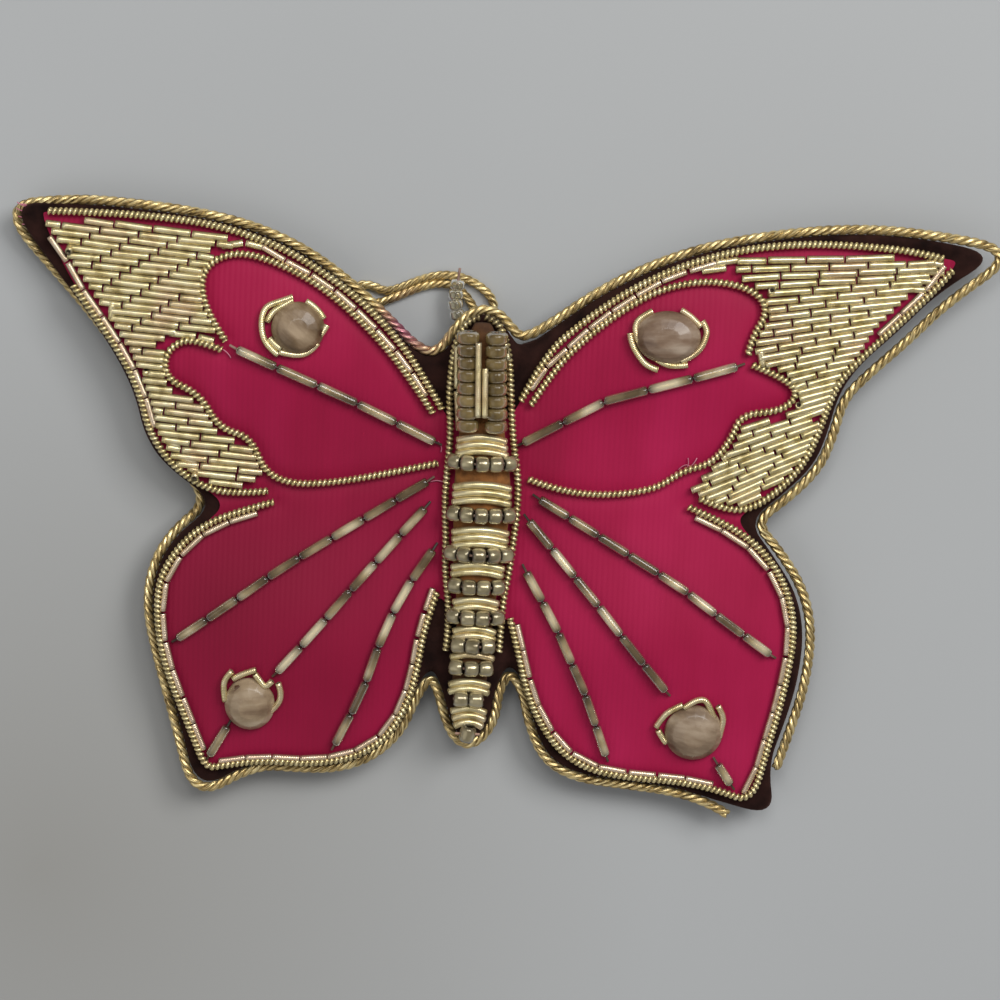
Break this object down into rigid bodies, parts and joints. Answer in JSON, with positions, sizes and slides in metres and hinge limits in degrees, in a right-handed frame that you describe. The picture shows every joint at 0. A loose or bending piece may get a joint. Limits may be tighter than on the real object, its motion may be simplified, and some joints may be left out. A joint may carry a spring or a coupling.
{
  "type": "butterfly ornament",
  "caption": "Padded fabric butterfly hanging ornament: velvet back, ribbed silk wings with couched metal thread, bead veins and cabochons, cord edge and a cord loop to hang it by.",
  "frame": {"origin": "on the flat back, on the axis of the body, below the middle of the wings", "axes": "+Z out of the embroidered face, +Y towards the head, +X towards the wings at the right of the picture"},
  "size_m": [0.1516, 0.0951, 0.0135],
  "materials": {
    "velvet": "matte",
    "wadding": "matte",
    "silk": "satin",
    "felt": "matte",
    "gold_cord": "satin",
    "thread": "matte",
    "coiled_wire": "polished",
    "purl": "polished",
    "bugle": "polished",
    "clear_bead": "polished",
    "silver_bead": "polished",
    "amber_bead": "polished",
    "stone": "polished"
  },
  "bodies": {
    "butterfly": {"abdomen_beads": "silver_bead", "abdomen_purl_bands": "purl", "abdomen_threads": "thread", "back_cover": "velvet", "body_core": "felt", "edge_cord": "gold_cord", "front_cover": "silk", "left_body_coil": "coiled_wire", "left_forewing_cell_coil": "coiled_wire", "left_forewing_edge_coil": "coiled_wire", "left_forewing_purl": "purl", "left_forewing_stone": "stone", "left_forewing_stone_ring": "purl", "left_forewing_vein": "bugle", "left_forewing_vein_thread": "thread", "left_hindwing_edge_coil": "coiled_wire", "left_hindwing_lower_vein": "bugle", "left_hindwing_lower_vein_thread": "thread", "left_hindwing_middle_vein": "bugle", "left_hindwing_middle_vein_thread": "thread", "left_hindwing_purl": "purl", "left_hindwing_stone": "stone", "left_hindwing_stone_ring": "purl", "left_hindwing_upper_vein": "bugle", "left_hindwing_upper_vein_thread": "thread", "left_thorax_beads": "amber_bead", "left_wing_tip_fill": "purl", "loop_tack": "thread", "right_body_coil": "coiled_wire", "right_forewing_cell_coil": "coiled_wire", "right_forewing_edge_coil": "coiled_wire", "right_forewing_purl": "purl", "right_forewing_stone": "stone", "right_forewing_stone_ring": "purl", "right_forewing_vein": "bugle", "right_forewing_vein_thread": "thread", "right_hindwing_edge_coil": "coiled_wire", "right_hindwing_lower_vein": "bugle", "right_hindwing_lower_vein_thread": "thread", "right_hindwing_middle_vein": "bugle", "right_hindwing_middle_vein_thread": "thread", "right_hindwing_purl": "purl", "right_hindwing_stone": "stone", "right_hindwing_stone_ring": "purl", "right_hindwing_upper_vein": "bugle", "right_hindwing_upper_vein_thread": "thread", "right_thorax_beads": "amber_bead", "right_wing_tip_fill": "purl", "thorax_purl": "purl", "thorax_threads": "thread", "wadding": "wadding"},
    "loop": {"hanging_loop": "gold_cord"},
    "antenna": {"antenna_beads": "clear_bead", "antenna_thread": "thread"}
  },
  "joints": [
    {"name": "loop_swing", "type": "hinge", "parent": "butterfly", "child": "loop", "pos_m": [0.00005, 0.02987, 0.00075], "axis": [0, 0, -1], "range_deg": [0, 80]},
    {"name": "antenna_sway", "type": "hinge", "parent": "butterfly", "child": "antenna", "pos_m": [-0.00201, 0.02778, 0.003], "axis": [0, 0, 1], "range_deg": [-8, 8]}
  ]
}
